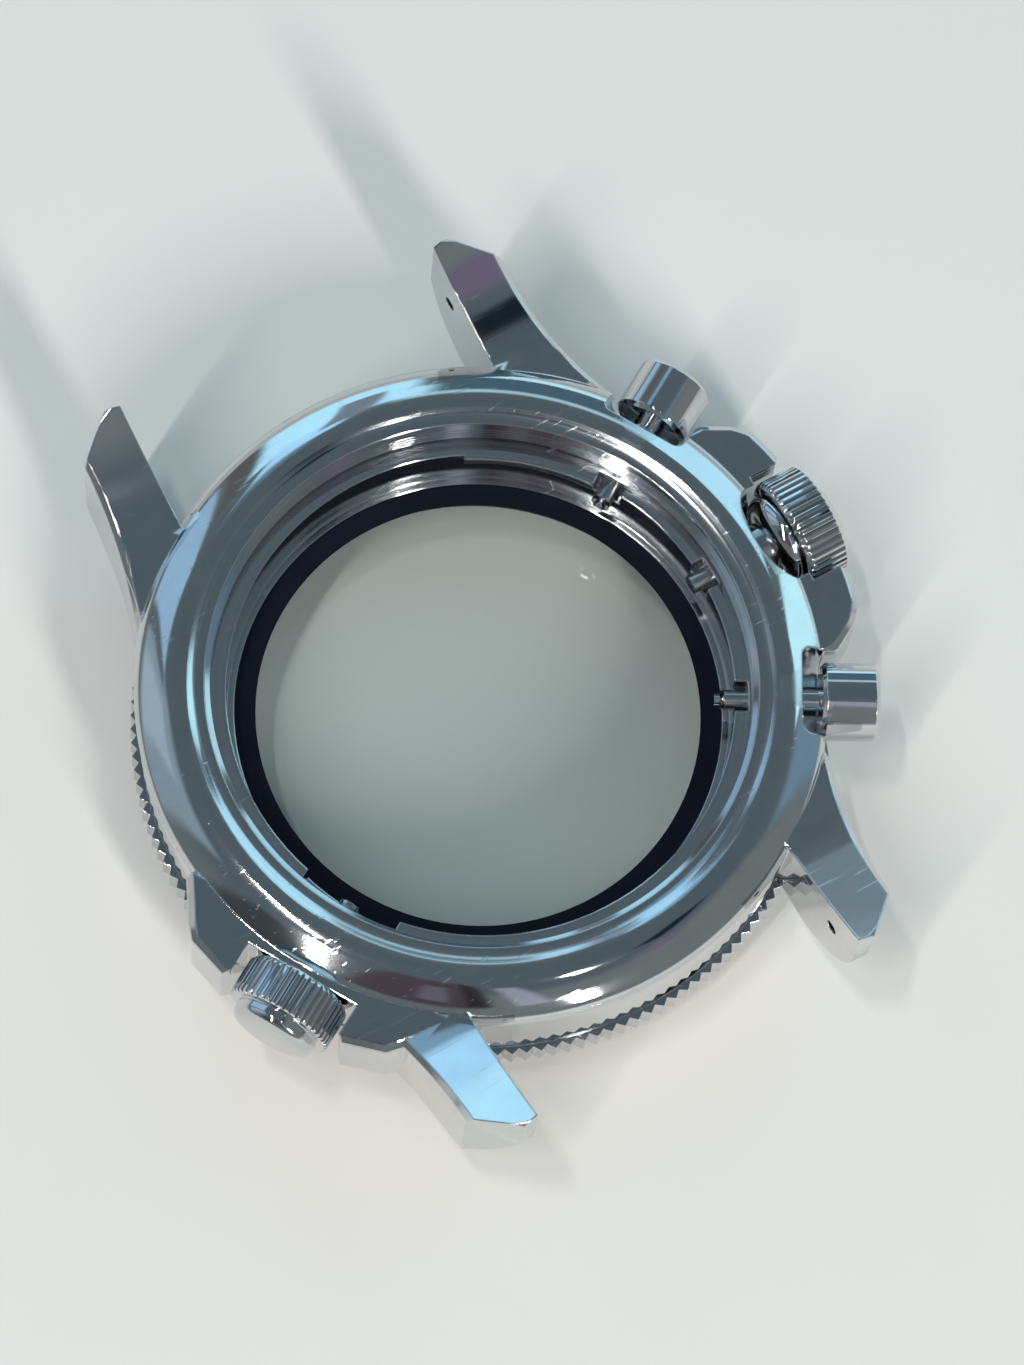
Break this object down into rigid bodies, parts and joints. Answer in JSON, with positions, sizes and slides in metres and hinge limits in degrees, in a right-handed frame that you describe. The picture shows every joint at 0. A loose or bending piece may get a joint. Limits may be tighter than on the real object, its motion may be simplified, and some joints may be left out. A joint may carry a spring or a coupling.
{
  "type": "wristwatch case",
  "caption": "Empty steel diver chronograph watch case with open back, toothed rotating bezel, screw crown, two pushers and a gas release valve.",
  "frame": {"origin": "on the case axis, in the plane of the mouth of the case back thread", "axes": "+Z along the case axis, out of the open case back; +X to the crown at three o'clock; -Y to twelve o'clock, seen from the dial side"},
  "size_m": [0.0481, 0.0516, 0.0134],
  "materials": {
    "polished_steel": "mirror polished",
    "turned_steel": "fine turned",
    "spring_steel": "drawn wire",
    "black_ring": "matt black",
    "black_insert": "black anodised",
    "crystal": "clear polished",
    "seal_plastic": "satin",
    "luminous_dot": "matt",
    "black_rubber": "matt"
  },
  "bodies": {
    "case": {"mid_case": "polished_steel", "inner_ring": "black_ring", "crystal": "crystal", "crystal_gasket": "seal_plastic", "bezel_retaining_wire": "spring_steel", "bezel_click_spring": "spring_steel", "crown_tube": "turned_steel", "valve_tube": "turned_steel", "pusher_2_tube": "turned_steel", "pusher_4_tube": "turned_steel", "pusher_2_spring": "spring_steel", "pusher_4_spring": "spring_steel"},
    "bezel": {"rotating_bezel": "polished_steel", "bezel_insert": "black_insert", "bezel_pip": "luminous_dot"},
    "crown_slide": {"crown_spring": "spring_steel"},
    "winding_stem": {"crown_stem": "turned_steel"},
    "crown": {"crown_head": "polished_steel", "crown_gasket": "black_rubber"},
    "valve_slide": {"valve_plunger": "turned_steel", "valve_spring": "spring_steel"},
    "valve_knob": {"valve_head": "polished_steel", "valve_gasket": "black_rubber"},
    "upper_pusher": {"pusher_2": "polished_steel", "pusher_2_clip": "spring_steel"},
    "lower_pusher": {"pusher_4": "polished_steel", "pusher_4_clip": "spring_steel"}
  },
  "joints": [
    {"name": "bezel_turn", "type": "hinge", "parent": "case", "child": "bezel", "pos_m": [0, 0, 0], "axis": [0, 0, -1], "continuous": true},
    {"name": "crown_pull", "type": "slide", "parent": "case", "child": "crown_slide", "axis": [1, 0, 0], "range_m": [0, 0.0009]},
    {"name": "crown_turn", "type": "hinge", "parent": "crown_slide", "child": "winding_stem", "pos_m": [0, 0, -0.0026], "axis": [1, 0, 0], "continuous": true},
    {"name": "crown_screw", "type": "slide", "parent": "winding_stem", "child": "crown", "axis": [1, 0, 0], "range_m": [-0.0005, 0], "stiffness_N_per_m": 2000, "springref_m": 0.0003},
    {"name": "valve_lift", "type": "slide", "parent": "case", "child": "valve_slide", "axis": [-0.866, -0.5, 0], "range_m": [0, 0.0006]},
    {"name": "valve_turn", "type": "hinge", "parent": "valve_slide", "child": "valve_knob", "pos_m": [0, 0, -0.0026], "axis": [-0.866, -0.5, 0], "range_deg": [0, 760]},
    {"name": "upper_pusher_press", "type": "slide", "parent": "case", "child": "upper_pusher", "axis": [-0.866, 0.5, 0], "range_m": [0, 0.0008], "stiffness_N_per_m": 6000, "springref_m": -0.0004},
    {"name": "lower_pusher_press", "type": "slide", "parent": "case", "child": "lower_pusher", "axis": [-0.866, -0.5, 0], "range_m": [0, 0.0008], "stiffness_N_per_m": 6000, "springref_m": -0.0004}
  ],
  "couplings": [
    {"joint": "valve_turn", "follows": "valve_lift", "rad_per_m": 20944}
  ]
}
